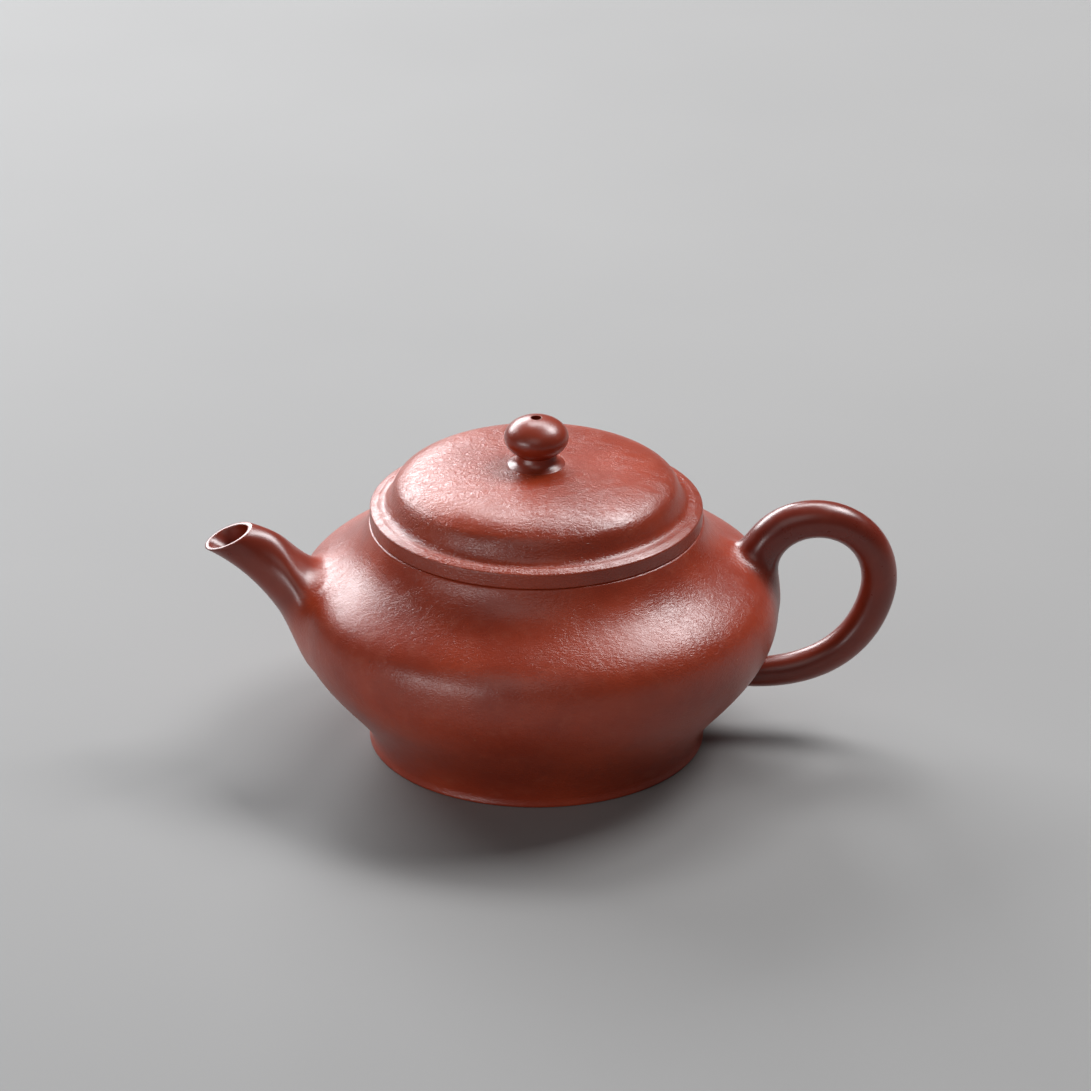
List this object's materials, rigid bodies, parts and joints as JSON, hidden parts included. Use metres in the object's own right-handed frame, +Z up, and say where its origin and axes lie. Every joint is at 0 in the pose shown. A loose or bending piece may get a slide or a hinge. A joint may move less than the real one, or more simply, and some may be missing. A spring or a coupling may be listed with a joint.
{
  "type": "teapot",
  "caption": "Small round unglazed clay teapot: flattened drum body on a low foot, short upswept spout, ear-shaped loop handle, lift-off cushion-domed lid with a vented ball knob.",
  "frame": {"origin": "on the pot's turning axis at the plane of the foot", "axes": "+Z up, -X towards the spout, +X towards the handle, Y across; the XZ plane is the plane of symmetry"},
  "size_m": [0.12, 0.084, 0.0599],
  "materials": {
    "body_clay": "burnished unglazed red clay, soft sheen",
    "lid_clay": "burnished unglazed red clay, soft sheen",
    "trim_clay": "smooth burnished unglazed red clay, slightly darker"
  },
  "bodies": {
    "pot": {"base_disc": "body_clay", "foot_ring": "body_clay", "belly_wall": "body_clay", "shoulder_plate": "body_clay", "mouth_ring": "body_clay", "spout": "trim_clay", "handle": "trim_clay", "strainer": "body_clay"},
    "flange": {"lid_flange": "lid_clay"},
    "lid": {"lid_brim": "lid_clay", "lid_dome": "lid_clay", "knob_neck": "trim_clay", "knob": "trim_clay"}
  },
  "joints": [
    {"name": "lid_lift", "type": "slide", "parent": "pot", "child": "flange", "axis": [0, 0, 1], "range_m": [0, 0.055]},
    {"name": "lid_turn", "type": "hinge", "parent": "flange", "child": "lid", "pos_m": [0, 0, 0.04092], "axis": [0, 0, 1], "continuous": true}
  ]
}
